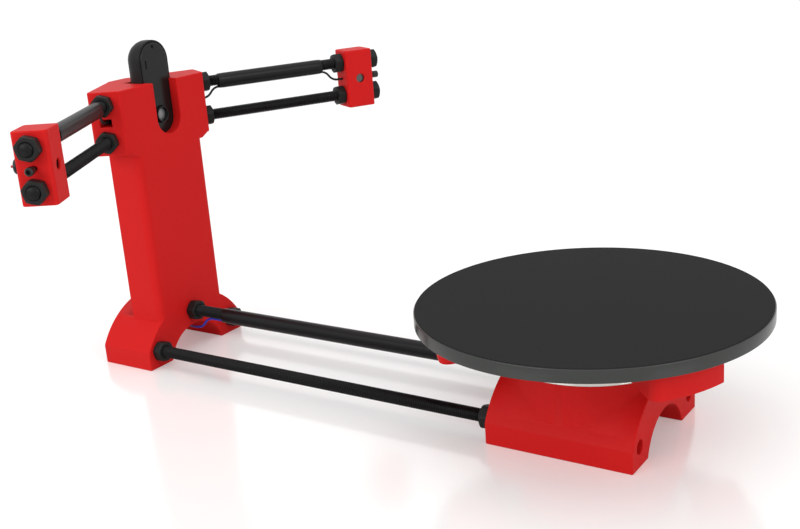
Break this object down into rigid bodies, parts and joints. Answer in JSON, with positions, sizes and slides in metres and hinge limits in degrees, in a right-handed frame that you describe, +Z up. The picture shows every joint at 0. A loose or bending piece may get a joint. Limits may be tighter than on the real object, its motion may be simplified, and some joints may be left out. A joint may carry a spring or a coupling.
{
  "type": "desktop 3d scanner",
  "caption": "Open-frame desktop laser scanner: printed column with webcam and two line lasers on threaded arms, joined by threaded rods to a motor-driven round turntable.",
  "frame": {"origin": "on the floor, under the middle of the whole scanner", "axes": "+X from the column to the turntable, +Y towards the far arm, +Z up"},
  "size_m": [0.456, 0.3404, 0.222],
  "materials": {
    "printed_red": "printed plastic, satin",
    "rod_black": "blackened threaded steel",
    "nut_black": "blackened steel",
    "sleeve_black": "smooth glossy sleeve",
    "lead_black": "insulated lead",
    "lead_blue": "insulated lead",
    "laser_black": "black anodised",
    "lens_glass": "coated glass",
    "screw_black": "black oxide",
    "screw_steel": "zinc plated",
    "motor_aluminium": "cast",
    "motor_steel": "black lacquered laminations",
    "shaft_steel": "ground",
    "connector_white": "moulded",
    "connector_black": "moulded",
    "bearing_steel": "ground bearing steel",
    "cage_brass": "pressed",
    "disc_black": "polished acrylic edge",
    "mat_black": "fine matt rubber",
    "board_blue": "solder mask",
    "board_red": "solder mask",
    "socket_steel": "pressed tin plate",
    "sink_aluminium": "extruded",
    "button_red": "moulded",
    "standoff_brass": "turned",
    "webcam_shell": "fine satin",
    "webcam_gloss": "polished"
  },
  "bodies": {
    "stand": {"column_frame": "printed_red", "turntable_base": "printed_red", "laser_holder_near": "printed_red", "laser_holder_far": "printed_red", "base_rod_near": "rod_black", "base_rod_far": "rod_black", "base_rod_middle": "rod_black", "arm_rod_near_lower": "rod_black", "arm_rod_near_upper": "rod_black", "arm_rod_far_lower": "rod_black", "arm_rod_far_upper": "rod_black", "base_rod_nuts": "nut_black", "arm_rod_nuts": "nut_black", "arm_sleeve_near": "sleeve_black", "arm_sleeve_far": "sleeve_black", "base_rod_sleeve": "sleeve_black", "laser_lead_near": "lead_black", "laser_lead_far": "lead_black", "motor_lead": "lead_blue", "webcam_lens": "lens_glass", "laser_clamp_screws": "screw_black", "motor_front_cap": "motor_aluminium", "motor_rear_cap": "motor_aluminium", "motor_stator": "motor_steel", "motor_bearings": "shaft_steel", "motor_screws": "screw_steel", "motor_connector": "connector_white", "bearing_inner_ring": "bearing_steel", "controller_board": "board_blue", "shield_board": "board_red", "motor_driver": "board_red", "header_strips": "connector_black", "lead_plugs": "connector_white", "usb_socket": "socket_steel", "power_socket": "connector_black", "heat_sink": "sink_aluminium", "reset_switch": "connector_black", "board_standoffs": "standoff_brass", "board_screws": "screw_steel", "webcam_rear_shell": "webcam_shell", "webcam_bezel": "webcam_gloss", "webcam_board": "board_blue", "webcam_lens_barrel": "webcam_gloss"},
    "turntable": {"turntable_carrier": "printed_red", "turntable_disc": "disc_black", "disc_mat": "mat_black", "disc_screws": "screw_steel", "shaft_set_screw": "screw_black", "bearing_outer_ring": "bearing_steel", "motor_rotor": "shaft_steel"},
    "ball_cage": {"bearing_cage": "cage_brass", "bearing_balls": "bearing_steel"},
    "laser_near": {"laser_barrel_near": "laser_black", "laser_lens_near": "lens_glass"},
    "laser_far": {"laser_barrel_far": "laser_black", "laser_lens_far": "lens_glass"},
    "reset_plunger": {"reset_button": "button_red"},
    "driver_dial": {"driver_trimmer": "screw_steel"}
  },
  "joints": [
    {"name": "turntable_spin", "type": "hinge", "parent": "stand", "child": "turntable", "pos_m": [0.12795, 0, 0.06], "axis": [0, 0, 1], "continuous": true},
    {"name": "bearing_cage_spin", "type": "hinge", "parent": "stand", "child": "ball_cage", "pos_m": [0.12795, 0, 0.0547], "axis": [0, 0, 1], "continuous": true},
    {"name": "laser_near_roll", "type": "hinge", "parent": "stand", "child": "laser_near", "pos_m": [-0.13262, -0.1516, 0.1739], "axis": [0.866, 0.5, 0], "range_deg": [-15, 15]},
    {"name": "laser_far_roll", "type": "hinge", "parent": "stand", "child": "laser_far", "pos_m": [-0.13262, 0.1516, 0.1739], "axis": [0.866, -0.5, 0], "range_deg": [-15, 15]},
    {"name": "reset_press", "type": "slide", "parent": "stand", "child": "reset_plunger", "axis": [1, 0, 0], "range_m": [0, 0.0003], "stiffness_N_per_m": 500, "springref_m": -0.0006},
    {"name": "driver_trim", "type": "hinge", "parent": "stand", "child": "driver_dial", "pos_m": [-0.21175, 0, 0.115], "axis": [1, 0, 0], "range_deg": [-135, 135]}
  ],
  "couplings": [
    {"joint": "bearing_cage_spin", "follows": "turntable_spin", "ratio": 0.54444}
  ]
}
